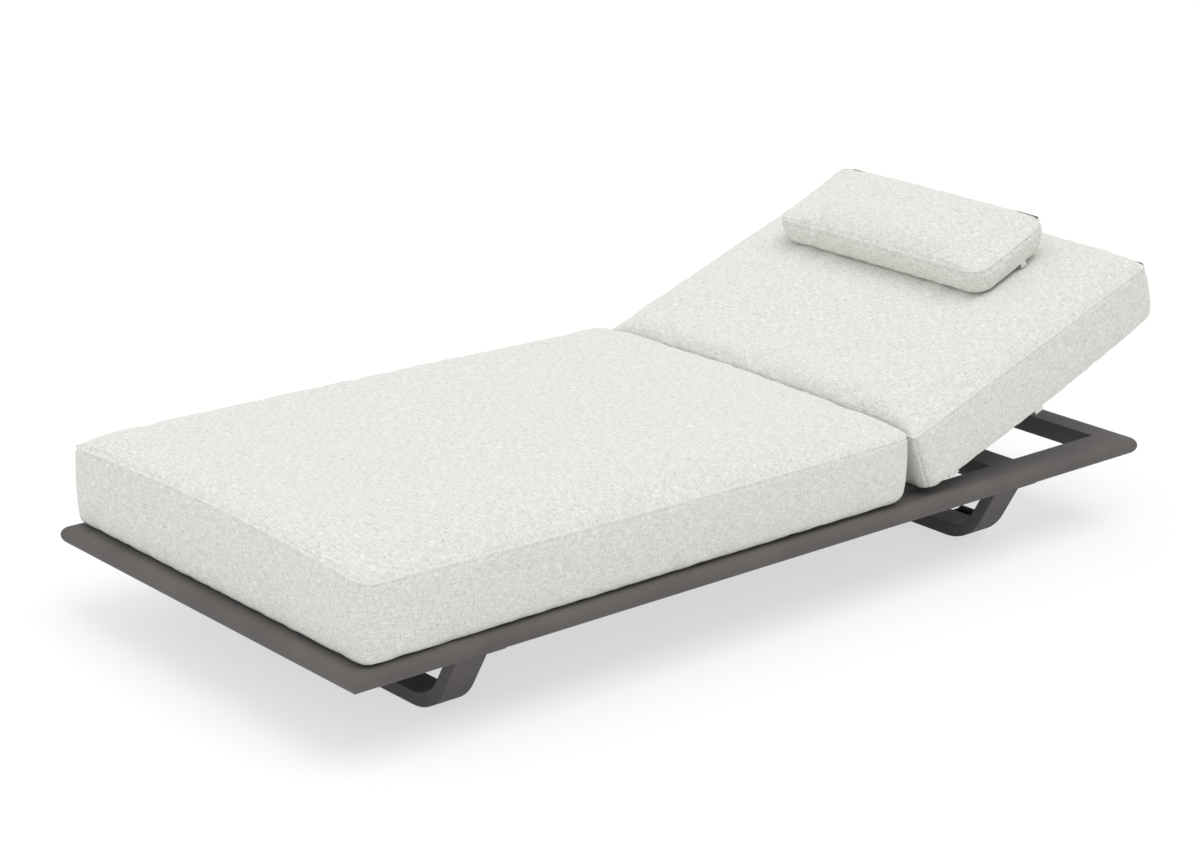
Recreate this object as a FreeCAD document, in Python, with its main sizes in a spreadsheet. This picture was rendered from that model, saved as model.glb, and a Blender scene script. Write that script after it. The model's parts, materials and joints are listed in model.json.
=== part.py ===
import FreeCAD, Part
import Sketcher
import math
import os
import re
from FreeCAD import Placement, Rotation, Vector

# Spa relaxation lounger: a low metal frame on two sled legs, a hinged backrest with a folding stay,
# and three loose cushions. Millimetres. X runs from the foot end to the head end, Y across, Z up,
# and Z = 0 is the floor under the glides. The near side is at -Y and the far side at +Y.
# The origin is the middle of the whole lounger, seen from above, with the backrest as it stands at rest.

SIZES = {
    # base frame
    "frame_length": 2000.0,
    "frame_width": 968.0,
    "frame_height": 184.0,
    "rail_width": 67.0,
    "rail_thickness": 39.0,
    "rail_wall": 3.0,
    "cross_width": 68.0,
    "cross_wall": 2.5,
    "slat_width": 60.0,
    "slat_thickness": 10.0,
    "slat_wall": 1.5,
    # sled legs
    "front_leg_inset": 290.0,
    "rear_leg_inset": 339.0,
    "leg_width": 70.0,
    "leg_bar": 27.0,
    "leg_wall": 3.0,
    "leg_lean": 30.0,
    "leg_bend_radius": 108.0,
    "leg_top_inset": 40.5,
    "leg_edge_radius": 3.0,
    "leg_plate_thickness": 4.0,
    "leg_plate_reach": 18.0,
    "leg_plate_depth": 46.0,
    "leg_screw_radius": 3.0,
    "leg_screw_head_radius": 5.5,
    "leg_screw_head_height": 3.0,
    "leg_screw_length": 12.0,
    # glides
    "glide_length": 52.0,
    "glide_width": 45.0,
    "glide_thickness": 2.5,
    "glide_corner_radius": 7.0,
    # transport rollers
    "roller_radius": 16.5,
    "roller_width": 40.0,
    "roller_edge_radius": 2.5,
    "roller_floor_gap": 1.5,
    "roller_side_gap": 0.5,
    "roller_back_gap": 1.0,
    "roller_cheek": 4.0,
    "roller_cheek_radius": 10.0,
    "roller_base": 2.5,
    "roller_base_height": 20.0,
    "roller_axle_radius": 4.0,
    "roller_screw_radius": 2.0,
    "roller_screw_length": 8.0,
    "roller_screw_inset": 12.0,
    # backrest hinge
    "pivot_inset": 546.0,
    "back_tilt": 20.5,
    "hinge_pin_radius": 6.0,
    "hinge_head_radius": 9.0,
    "hinge_head_thickness": 3.5,
    "hinge_plate": 8.0,
    "hinge_plate_half": 12.0,
    "hinge_plate_radius": 10.5,
    "hinge_flange_width": 25.0,
    "hinge_flange_thickness": 4.0,
    "hinge_screw_radius": 2.5,
    "hinge_screw_head_radius": 4.5,
    "hinge_screw_head_height": 2.5,
    "hinge_screw_length": 9.0,
    "hinge_screw_inset": 7.0,
    "running_gap": 0.05,
    "side_gap": 0.5,
    "flat_gap": 0.5,
    # backrest frame
    "back_side_inset": 72.0,
    "back_length": 560.0,
    "back_tube_width": 40.0,
    "back_tube_thickness": 22.0,
    "back_tube_wall": 2.0,
    "lower_tube_start": 20.0,
    "back_slat_width": 50.0,
    "back_slat_thickness": 5.0,
    "tube_plug_length": 30.0,
    "tube_cap_length": 12.0,
    # folding stay and racks
    "stay_length": 85.0,
    "stay_to_rack": 24.0,
    "stay_arm_thickness": 8.0,
    "stay_arm_height": 10.0,
    "stay_bar_radius": 5.5,
    "stay_pin_radius": 3.0,
    "stay_cheek": 5.0,
    "stay_cheek_gap": 0.3,
    "stay_bracket_base": 3.0,
    "rack_side_inset": 160.0,
    "rack_thickness": 12.0,
    "rack_depth": 34.0,
    "rack_gap": 0.3,
    "rack_lead": 14.0,
    "notch_radius": 6.0,
    "notch_depth": 4.5,
    "stay_bar_overhang": 2.0,
    # cushions
    "soft_gap": 0.3,
    "seat_foot_inset": 27.0,
    "seat_head_gap": 115.0,
    "seat_side_inset": 5.0,
    "seat_seam_height": 150.0,
    "seat_crown": 40.0,
    "seat_crown_run": 80.0,
    "seat_crown_side_run": 125.0,
    "back_cushion_start": 60.0,
    "back_cushion_overhang": 86.0,
    "back_cushion_side_inset": 11.0,
    "back_seam_height": 130.0,
    "back_crown": 44.0,
    "back_crown_run": 60.0,
    "back_crown_side_run": 125.0,
    "cushion_foot_radius": 30.0,
    "cushion_bulge": 5.0,
    "cushion_draw_in": 4.0,
    "cushion_plan_radius": 28.0,
    "pillow_head_gap": 76.0,
    "pillow_depth": 224.0,
    "pillow_width": 590.0,
    "pillow_seam_height": 52.0,
    "pillow_crown": 32.0,
    "pillow_crown_run": 70.0,
    "pillow_crown_side_run": 100.0,
    "pillow_foot_radius": 24.0,
    "pillow_bulge": 6.0,
    "pillow_draw_in": 3.0,
    "pillow_plan_radius": 42.0,
    "overrun": 10.0,
}

# Counts and angles that are not lengths.
FOOT_SLATS = 1
SEAT_SLATS = 8
BACK_SLATS = 5
NOTCH_TILTS = ("back_tilt", "30", "40", "50", "60")

# Corners of a cushion's outlines that lie nearer than this share of the soft gap are one corner.
CORNER_JOIN_SHARE = 0.03

# Places worked out from the sizes. Each is an expression on the sheet, kept as a property of the layout.
LAYOUT = {
    "rail_radius": "rail_thickness / 2",
    "inner_half": "frame_width / 2 - rail_width",
    "rail_under": "frame_height - rail_thickness",
    "foot_end": "centre - frame_length / 2",
    "head_end": "centre + frame_length / 2",
    "front_leg": "foot_end + front_leg_inset",
    "rear_leg": "head_end - rear_leg_inset",
    "pivot_along": "head_end - pivot_inset",
    "half_tube": "back_tube_thickness / 2",
    "pivot_up": "frame_height + flat_gap + half_tube",
    "back_half_width": "frame_width / 2 - back_side_inset",
    "tube_inner": "back_half_width - back_tube_width",
    "hinge_beam": "pivot_along - cross_width / 2",
    "lower_tube_end": "lower_tube_start + back_tube_width",
    "upper_tube_start": "back_length - back_tube_width",
    "leg_plate_outer": "frame_width / 2 - rail_radius",
    "leg_screw_across": "leg_plate_outer - leg_plate_depth / 2",
    "leg_screw_reach": "(leg_width + leg_plate_reach) / 2",
    "plate_low": "tube_inner - side_gap - hinge_plate",
    "flange_low": "plate_low - hinge_flange_width",
    "stay_up": "pivot_up + stay_length * sin(back_tilt)",
    "stay_along": "pivot_along + stay_length * cos(back_tilt)",
    "leg_rear_face": "rear_leg + leg_width / 2",
    "roller_along": "leg_rear_face + roller_base + roller_back_gap + roller_radius",
    "roller_up": "roller_radius + roller_floor_gap",
    "leg_bend_reach": "leg_bend_radius * cos(leg_lean)",
    "leg_bend_top": "glide_thickness + leg_bend_radius * (1 - sin(leg_lean))",
    "leg_top": "rail_under - leg_plate_thickness",
    "leg_slope_reach": "(leg_top - leg_bend_top) * tan(leg_lean)",
    "leg_flat_half": "frame_width / 2 - leg_top_inset - leg_slope_reach - leg_bend_reach",
    "bracket_width": "roller_width + 2 * roller_side_gap + 2 * roller_cheek",
    "bracket_low": "leg_flat_half - bracket_width",
    "roller_low": "bracket_low + roller_cheek + roller_side_gap",
    "stay_half_gap": "stay_arm_thickness / 2 + stay_cheek_gap",
    "stay_half_width": "stay_half_gap + stay_cheek",
    "rack_place": "frame_width / 2 - rack_side_inset",
    "stay_place": "rack_place - stay_to_rack",
    "stay_bar_half": "rack_place + rack_thickness / 2 + stay_bar_overhang",
    "rack_low": "frame_height - rack_depth",
    "rack_tip": "pivot_up - stay_bar_radius - rack_gap",
    "rack_start": "hinge_beam + cross_width",
    "rack_end": "rear_leg - cross_width / 2",
}

NEAR, FAR = -1, 1
SIDES = (("near", NEAR), ("far", FAR))
ENDS = (-1, 1)
UPRIGHT = Rotation()
ALONG_X = Rotation(Vector(0, 1, 0), 90)
ALONG_Y = Rotation(Vector(1, 0, 0), -90)

doc = FreeCAD.newDocument("lounger")
sheet = doc.addObject("Spreadsheet::Sheet", "sizes")
for row, (word, number) in enumerate(SIZES.items(), start=1):
    sheet.set(f"A{row}", word)
    sheet.set(f"B{row}", str(number))
    sheet.setAlias(f"B{row}", word)
doc.recompute()

layout = doc.addObject("App::FeaturePython", "layout")
layout.addProperty("App::PropertyFloat", "centre")
nodes = []


def size(word):
    """The number that the sheet holds under a word."""
    return float(getattr(sheet, word))


def bound(text):
    """Point every size word of an expression at the sheet, and every place at the layout."""
    def owner(match):
        word = match.group(0)
        if word in SIZES:
            return "sizes." + word
        if word in LAYOUT or word == "centre":
            return "layout." + word
        return word
    return re.sub(r"[a-z_]{3,}", owner, text)


def bind(piece, **texts):
    for name, text in texts.items():
        piece.setExpression(name, bound(text))
    return piece


def put(piece, along, across, up, turn=UPRIGHT):
    """Place a piece by three expressions, with a fixed turn."""
    piece.Placement = Placement(Vector(), turn)
    for axis, text in zip("xyz", (along, across, up)):
        piece.setExpression("Placement.Base." + axis, bound(text))
    return piece


def box(name, low, spans):
    piece = doc.addObject("Part::Box", name)
    bind(piece, Length=spans[0], Width=spans[1], Height=spans[2])
    return put(piece, *low)


def rod(name, start, radius, length, turn):
    """A round bar from its start point, along X, Y or Z as its turn says."""
    piece = doc.addObject("Part::Cylinder", name)
    bind(piece, Radius=radius, Height=length)
    return put(piece, *start, turn)


def joined(name, pieces):
    piece = doc.addObject("Part::MultiFuse", name)
    piece.Shapes = pieces
    piece.Refine = True
    return piece


def cut(name, base, tool):
    piece = doc.addObject("Part::Cut", name)
    piece.Base = base
    piece.Tool = tool
    return piece


def common(name, base, tool):
    piece = doc.addObject("Part::Common", name)
    piece.Base = base
    piece.Tool = tool
    return piece


def drilled(name, base, holes):
    return cut(name, base, joined(name + "_holes", holes))


def out_from_middle(way, start, span="0"):
    """The low edge across of what lies from start to start + span out from the middle, on either side."""
    return f"({start})" if way == FAR else f"-({start}) - ({span})"


def screw(name, along, across, seat, radius, length, head_radius, head_height):
    """An upright screw whose head bears on its seat: a shank above it and a head below."""
    shank = rod(name + "_shank", (along, across, seat), radius, length, UPRIGHT)
    head = rod(name + "_head", (along, across, f"{seat} - {head_height}"), head_radius, head_height, UPRIGHT)
    return joined(name, [shank, head])


def solid(name, shape, placement):
    piece = doc.addObject("Part::Feature", name)
    piece.Shape = shape
    piece.Placement = placement
    return piece


def node(piece, name):
    piece.Label = name
    nodes.append(piece)
    return piece


def lean(piece, angle_text, axis):
    """Turn a placed piece about an axis by an angle that the sheet drives."""
    piece.Placement = Placement(piece.Placement.Base, Rotation(axis, 1))
    piece.setExpression("Placement.Rotation.Angle", bound(angle_text))


def in_back(piece, along="0", across="0", up="0"):
    """Place a piece by its low corner in the backrest's own frame: along the slope, across, and off it."""
    put(piece,
        f"pivot_along + ({along}) * cos(back_tilt) - ({up}) * sin(back_tilt)",
        across,
        f"pivot_up + ({along}) * sin(back_tilt) + ({up}) * cos(back_tilt)")
    lean(piece, "back_tilt", Vector(0, -1, 0))
    return piece


def in_stay(piece, along="0", across="0", up="0"):
    """Place a piece in the stay's own frame, whose origin is the stay's pin and which slopes down."""
    put(piece,
        f"stay_along + ({along}) * cos(back_tilt) + ({up}) * sin(back_tilt)",
        across,
        f"stay_up - ({along}) * sin(back_tilt) + ({up}) * cos(back_tilt)")
    lean(piece, "back_tilt", Vector(0, 1, 0))
    return piece


def tube(name, low, spans, wall, open_axis):
    """A rectangular tube: a box, less a box that runs out past both of its open ends."""
    inner_low = [f"{text} + {wall}" for text in low]
    inner_spans = [f"{text} - 2 * {wall}" for text in spans]
    inner_low[open_axis] = f"{low[open_axis]} - overrun"
    inner_spans[open_axis] = f"{spans[open_axis]} + 2 * overrun"
    return cut(name, box(name + "_outside", low, spans), box(name + "_inside", inner_low, inner_spans))


# cushion forms

def arc(start, middle, end):
    return Part.Arc(start, middle, end).toShape()


def line(start, end):
    return Part.LineSegment(start, end).toShape()


def prism(edges, step):
    return Part.Face(Part.Wire(edges)).extrude(step)


def quarter(centre, start, end):
    """A quarter circle about a centre, through the point halfway round."""
    reach = (start - centre).Length
    halfway = (start - centre) + (end - centre)
    halfway.normalize()
    return arc(start, centre + halfway * reach, end)


def crown_rise(at, start, form, run):
    """The crown's rise inward from a seam: an arc that is level where its run ends."""
    seam, crown = form["seam"], form["crown"]
    radius = (run ** 2 + crown ** 2) / (2 * crown)
    half_turn = math.asin(run / radius) / 2
    middle = at(start + run - radius * math.sin(half_turn), seam + crown - radius * (1 - math.cos(half_turn)))
    return arc(at(start, seam), middle, at(start + run, seam + crown))


def cushion_section(form, ends, run):
    """A cushion's outline seen from an end or a side: rounded lower edges, bulging sides, and a crown that
    rises from each seam over its run and is level between. Each end gives places from inward and up."""
    bulge, radius, seam = form["bulge"], form["foot_radius"], form["seam"]
    middle, top = (radius + seam) / 2, seam + form["crown"]
    edges = []
    for at in ends:
        edges.append(quarter(at(bulge + radius, radius), at(bulge + radius, 0), at(bulge, radius)))
        edges.append(arc(at(bulge, radius), at(0, middle), at(bulge, seam)))
        edges.append(crown_rise(at, bulge, form, run))
    first, second = ends
    edges.append(line(first(bulge + radius, 0), second(bulge + radius, 0)))
    edges.append(line(first(bulge + run, top), second(bulge + run, top)))
    return Part.__sortEdges__(edges)


def section_across(form, along):
    half = form["width"] / 2
    ends = [lambda inward, up, way=way: Vector(along, way * (half - inward), up) for way in (1, -1)]
    return cushion_section(form, ends, form["crown_side_run"])


def section_along(form):
    ends = [lambda inward, up, end=end, way=way: Vector(end + way * inward, 0, up)
            for end, way in ((0, 1), (form["length"], -1))]
    return cushion_section(form, ends, form["crown_run"])


def plan_outline(form, low):
    """A cushion's outline from above: round corners, and sides that draw in between them."""
    length, half = form["length"], form["width"] / 2
    radius, draw = form["plan_radius"], form["draw_in"]
    edges = []
    for way in (1, -1):
        edges.append(arc(Vector(radius, way * half, low), Vector(length / 2, way * (half - draw), low),
                         Vector(length - radius, way * half, low)))
        for end, inward in ((0, 1), (length, -1)):
            edges.append(quarter(Vector(end + inward * radius, way * (half - radius), low),
                                 Vector(end + inward * radius, way * half, low),
                                 Vector(end, way * (half - radius), low)))
    for end, inward in ((0, 1), (length, -1)):
        edges.append(arc(Vector(end, -half + radius, low), Vector(end + inward * draw, 0, low),
                         Vector(end, half - radius, low)))
    return Part.__sortEdges__(edges)


def cushion_shape(form):
    """What three outlines have in common: across, along and from above."""
    beyond = size("overrun")
    across = prism(section_across(form, -beyond), Vector(form["length"] + 2 * beyond, 0, 0))
    along = prism(section_along(form), Vector(0, form["width"] + 2 * beyond, 0))
    along.translate(Vector(0, -form["width"] / 2 - beyond, 0))
    height = form["seam"] + form["crown"]
    above = prism(plan_outline(form, -beyond), Vector(0, 0, height + 2 * beyond))
    nearness = CORNER_JOIN_SHARE * size("soft_gap")
    return across.common((along,), nearness).common((above,), nearness).Solids[0]


def cushion_form(kind, length, width, edges):
    return {"length": length, "width": width, "seam": size(kind + "_seam_height"),
            "crown": size(kind + "_crown"), "crown_run": size(kind + "_crown_run"),
            "crown_side_run": size(kind + "_crown_side_run"),
            "foot_radius": size(edges + "_foot_radius"), "bulge": size(edges + "_bulge"),
            "draw_in": size(edges + "_draw_in"), "plan_radius": size(edges + "_plan_radius")}


seat_length = (size("frame_length") - size("pivot_inset") - size("seat_head_gap")
               - size("seat_foot_inset"))
back_cushion_end = size("back_length") + size("back_cushion_overhang")
seat_form = cushion_form("seat", seat_length, size("frame_width") - 2 * size("seat_side_inset"), "cushion")
back_form = cushion_form("back", size("back_cushion_start") + back_cushion_end,
                         size("frame_width") - 2 * size("back_cushion_side_inset"), "cushion")
pillow_form = cushion_form("pillow", size("pillow_depth"), size("pillow_width"), "pillow")

# The tilted back cushion reaches past the head rail. The frame's centre moves towards the foot by half of
# that, so that the origin stays in the middle of the whole lounger.
back_cushion_shape = cushion_shape(back_form)
back_cushion_off = size("back_tube_thickness") / 2 + size("soft_gap")
back_cushion_low = Placement(Vector(-size("back_cushion_start"), 0, back_cushion_off), UPRIGHT)
tilt_turn = Rotation(Vector(0, -1, 0), size("back_tilt"))
leaning = back_cushion_shape.copy()
leaning.Placement = Placement(Vector(), tilt_turn).multiply(back_cushion_low)
head_overhang = leaning.optimalBoundingBox(False, False).XMax - size("pivot_inset")
layout.centre = -head_overhang / 2

for word, text in LAYOUT.items():
    layout.addProperty("App::PropertyFloat", word)
    layout.setExpression(word, bound(text))
    doc.recompute()


def place(word):
    """A place that the layout has worked out."""
    return float(getattr(layout, word))


# base frame

def bullnose(name, span, inset):
    """A rail's section run along X: a flat bar whose outer edge is a half round."""
    flat = box(name + "_flat", (f"-{span} / 2", "rail_radius", inset),
               (span, f"rail_width - rail_radius - {inset}", f"rail_thickness - 2 * {inset}"))
    nose = rod(name + "_nose", (f"-{span} / 2", "rail_radius", "rail_radius"),
               f"rail_radius - {inset}", span, ALONG_X)
    return joined(name, [flat, nose])


def rail(name, span, along, across, turn, screw_places=()):
    """A hollow bullnose rail, mitred at both ends by a wedge that is a trapezium from above."""
    hollow = cut(name + "_hollow", bullnose(name + "_skin", span, "0"),
                 bullnose(name + "_core", span, "rail_wall"))
    mitre = doc.addObject("Part::Wedge", name + "_mitre")
    bind(mitre, Xmin=f"-{span} / 2", Xmax=f"{span} / 2", Ymin="0", Ymax="rail_width",
         X2min=f"-{span} / 2 + rail_width", X2max=f"{span} / 2 - rail_width",
         Zmin="-overrun", Zmax="rail_thickness + overrun",
         Z2min="-overrun", Z2max="rail_thickness + overrun")
    piece = common(name + "_mitred", hollow, mitre)
    holes = [rod(f"{name}_hole_{number}", (spot, "rail_radius + leg_plate_depth / 2", "-overrun"),
                 "leg_screw_radius", "rail_wall + 2 * overrun", UPRIGHT)
             for number, spot in enumerate(screw_places)]
    if holes:
        piece = drilled(name, piece, holes)
    put(piece, along, across, "rail_under", Rotation(Vector(0, 0, 1), turn))
    node(piece, name)


for side, way in SIDES:
    places = [f"{-way} * ({leg} - centre + {end} * leg_screw_reach)"
              for leg in ("front_leg", "rear_leg") for end in ENDS]
    rail(side + "_side_rail", "frame_length", "centre", f"{way} * frame_width / 2", 90 + 90 * way, places)
rail("foot_rail", "frame_width", "foot_end", "0", -90)
rail("head_rail", "frame_width", "head_end", "0", 90)


def cross_member(name, middle):
    low = (f"{middle} - cross_width / 2", "-inner_half", "rail_under")
    return tube(name, low, ("cross_width", "2 * inner_half", "rail_thickness"), "cross_wall", 1)


node(cross_member("front_cross_member", "front_leg"), "front_cross_member")
node(cross_member("rear_cross_member", "rear_leg"), "rear_cross_member")


def seat_slats(first, count, start, end):
    """Slats across the frame, evenly spaced between two members, with their tops level with it."""
    gap = f"(({end}) - ({start}) - {count} * slat_width) / {count + 1}"
    for number in range(count):
        low = f"{start} + {number + 1} * {gap} + {number} * slat_width"
        slat = tube(f"seat_slat_{first + number}", (low, "-inner_half", "frame_height - slat_thickness"),
                    ("slat_width", "2 * inner_half", "slat_thickness"), "slat_wall", 1)
        node(slat, f"seat_slat_{first + number}")


seat_slats(1, FOOT_SLATS, "(foot_end + rail_width)", "(front_leg - cross_width / 2)")
seat_slats(1 + FOOT_SLATS, SEAT_SLATS, "(front_leg + cross_width / 2)", "hinge_beam")


# sled legs

def leg_prism(inset, top):
    """A flat bar bent to a tray, or its hollow: a level foot, two bends, and two uprights that lean out."""
    radius, width = size("leg_bend_radius"), size("leg_width") - 2 * inset
    centre_up = size("glide_thickness") + radius
    turn = math.pi / 2 - math.radians(size("leg_lean"))

    def bend(reach, way, angle):
        return Vector(-width / 2, way * (place("leg_flat_half") + reach * math.sin(angle)),
                      centre_up - reach * math.cos(angle))

    def upright_end(reach, way):
        start = bend(reach, way, turn)
        return Vector(start.x, start.y + way * (top - start.z) / math.tan(turn), top)

    reaches = (radius - inset, radius - size("leg_bar") + inset)
    edges = [line(bend(reach, NEAR, 0), bend(reach, FAR, 0)) for reach in reaches]
    for way in (NEAR, FAR):
        for reach in reaches:
            edges.append(arc(bend(reach, way, 0), bend(reach, way, turn / 2), bend(reach, way, turn)))
            edges.append(line(bend(reach, way, turn), upright_end(reach, way)))
        edges.append(line(upright_end(reaches[0], way), upright_end(reaches[1], way)))
    return prism(Part.__sortEdges__(edges), Vector(width, 0, 0))


def leg_shape():
    """A hollow leg whose long edges are rounded and whose upright ends are open."""
    top, round_off = place("leg_top"), size("leg_edge_radius")
    skin = leg_prism(0, top)
    sides = [edge for edge in skin.Edges
             if edge.BoundBox.XLength < round_off and edge.BoundBox.ZMin < top - round_off]
    return skin.makeFillet(round_off, sides).cut(leg_prism(size("leg_wall"), top + size("overrun")))


front_leg = solid("front_leg", leg_shape(), Placement(Vector(place("front_leg"), 0, 0), UPRIGHT))
rear_leg = solid("rear_leg_bar", leg_shape(), Placement(Vector(place("rear_leg"), 0, 0), UPRIGHT))
node(front_leg, "front_leg")

screws = []
for name, leg in (("front_leg_plates", "front_leg"), ("rear_leg_plates", "rear_leg")):
    plates = []
    for side, way in SIDES:
        tag = f"{name}_{side}"
        under = "rail_under - leg_plate_thickness"
        plate = box(tag, (f"{leg} - leg_width / 2 - leg_plate_reach",
                          out_from_middle(way, "leg_plate_outer - leg_plate_depth", "leg_plate_depth"), under),
                    ("leg_width + 2 * leg_plate_reach", "leg_plate_depth", "leg_plate_thickness"))
        holes = []
        for end in ENDS:
            along, across = f"{leg} + {end} * leg_screw_reach", f"{way} * leg_screw_across"
            screws.append(screw(f"{tag}_screw_{end + 1}", along, across, under, "leg_screw_radius",
                                "leg_screw_length", "leg_screw_head_radius", "leg_screw_head_height"))
            holes.append(rod(f"{tag}_hole_{end + 1}", (along, across, under + " - overrun"),
                             "leg_screw_radius", "leg_plate_thickness + 2 * overrun", UPRIGHT))
        plates.append(drilled(tag + "_drilled", plate, holes))
    node(joined(name, plates), name)
node(joined("leg_screws", screws), "leg_screws")


def rounded_pad(name, low, spans, radius):
    """A flat pad with rounded upright corners: two crossing boxes and four round posts."""
    along, across, up = low
    length, width, height = spans
    parts = [box(name + "_long", (along, f"{across} + {radius}", up),
                 (length, f"{width} - 2 * {radius}", height)),
             box(name + "_wide", (f"{along} + {radius}", across, up),
                 (f"{length} - 2 * {radius}", width, height))]
    for end, far_end in ((f"{along} + {radius}", 0), (f"{along} + {length} - {radius}", 1)):
        for edge, far_edge in ((f"{across} + {radius}", 0), (f"{across} + {width} - {radius}", 1)):
            parts.append(rod(f"{name}_post_{far_end}{far_edge}", (end, edge, up), radius, height, UPRIGHT))
    return joined(name, parts)


for name, leg in (("front", "front_leg"), ("rear", "rear_leg")):
    for side, way in SIDES:
        label = f"{name}_{side}_glide"
        low = (f"{leg} - glide_length / 2",
               out_from_middle(way, "leg_flat_half - glide_width", "glide_width"), "0")
        node(rounded_pad(label, low, ("glide_length", "glide_width", "glide_thickness"), "glide_corner_radius"),
             label)


# transport rollers behind the rear leg

roller_screws, leg_holes = [], []
for side, way in SIDES:
    tag = f"{side}_roller_bracket"
    low = out_from_middle(way, "bracket_low", "bracket_width")
    base = box(tag + "_base", ("leg_rear_face", low, "roller_up - roller_base_height / 2"),
               ("roller_base", "bracket_width", "roller_base_height"))
    cheeks = []
    for cheek, start in (("inner", "bracket_low"), ("outer", "leg_flat_half - roller_cheek")):
        edge = out_from_middle(way, start, "roller_cheek")
        cheeks.append(box(f"{tag}_{cheek}_arm", ("leg_rear_face", edge, "roller_up - roller_cheek_radius"),
                          ("roller_along - leg_rear_face", "roller_cheek", "2 * roller_cheek_radius")))
        cheeks.append(rod(f"{tag}_{cheek}_eye", ("roller_along", edge, "roller_up"), "roller_cheek_radius",
                          "roller_cheek", ALONG_Y))
    holes = [rod(tag + "_bore", ("roller_along", low + " - overrun", "roller_up"), "roller_axle_radius",
                 "bracket_width + 2 * overrun", ALONG_Y)]
    for number, inset in enumerate(("roller_screw_inset", "bracket_width - roller_screw_inset")):
        across = f"{low} + {inset}"
        shank = ("leg_rear_face + roller_base - roller_screw_length", across, "roller_up")
        hole = ("leg_rear_face - overrun", across, "roller_up")
        holes.append(rod(f"{tag}_hole_{number}", hole, "roller_screw_radius", "2 * overrun", ALONG_X))
        leg_holes.append(rod(f"{tag}_leg_hole_{number}", hole, "roller_screw_radius", "2 * overrun", ALONG_X))
        roller_screws.append(rod(f"{tag}_screw_{number}", shank, "roller_screw_radius", "roller_screw_length",
                                 ALONG_X))
    node(drilled(tag, joined(tag + "_body", [base] + cheeks), holes), tag)
    node(rod(f"{side}_roller_axle", ("roller_along", low, "roller_up"), "roller_axle_radius", "bracket_width",
             ALONG_Y), f"{side}_roller_axle")
node(drilled("rear_leg", rear_leg, leg_holes), "rear_leg")


def roller(name, way):
    """A roller turned from a sketch: a bored drum with its two rims rounded."""
    body = doc.addObject("PartDesign::Body", name)
    sketch = body.newObject("Sketcher::SketchObject", name + "_section")
    plane = [feature for feature in body.Origin.OriginFeatures if feature.Role == "YZ_Plane"][0]
    sketch.AttachmentSupport = [(plane, "")]
    sketch.MapMode = "FlatFace"
    width, radius = size("roller_width"), size("roller_radius")
    bore = size("roller_axle_radius") + size("running_gap")
    corners = [Vector(0, bore, 0), Vector(width, bore, 0), Vector(width, radius, 0), Vector(0, radius, 0)]
    for start, end in zip(corners, corners[1:] + corners[:1]):
        sketch.addGeometry(Part.LineSegment(start, end))
    for number in range(4):
        sketch.addConstraint(Sketcher.Constraint("Coincident", number, 2, (number + 1) % 4, 1))
    for kind, edge in (("Horizontal", 0), ("Vertical", 1), ("Horizontal", 2), ("Vertical", 3)):
        sketch.addConstraint(Sketcher.Constraint(kind, edge))
    for word, kind, first, second, value, text in (
            ("start", "DistanceX", (-1, 1), (0, 1), 0.0, None),
            ("bore", "DistanceY", (-1, 1), (0, 1), bore, "roller_axle_radius + running_gap"),
            ("width", "DistanceX", (0, 1), (0, 2), width, "roller_width"),
            ("rim", "DistanceY", (-1, 1), (2, 1), radius, "roller_radius")):
        index = sketch.addConstraint(Sketcher.Constraint(kind, *first, *second, value))
        if text:
            sketch.renameConstraint(index, word)
            sketch.setExpression("Constraints." + word, bound(text))
    turned = body.newObject("PartDesign::Revolution", name + "_turned")
    turned.Profile = sketch
    turned.ReferenceAxis = (sketch, ["H_Axis"])
    turned.Angle = 360.0
    doc.recompute()
    rounded = body.newObject("PartDesign::Fillet", name + "_rounded")
    rims = [f"Edge{number}" for number, edge in enumerate(turned.Shape.Edges, start=1)
            if hasattr(edge.Curve, "Radius") and abs(edge.Curve.Radius - radius) < size("running_gap")]
    rounded.Base = (turned, rims)
    bind(rounded, Radius="roller_edge_radius")
    put(body, "roller_along", out_from_middle(way, "roller_low", "roller_width"), "roller_up")
    node(body, name)


for side, way in SIDES:
    roller(side + "_roller", way)
node(joined("roller_screws", roller_screws), "roller_screws")


# backrest hinge

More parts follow.
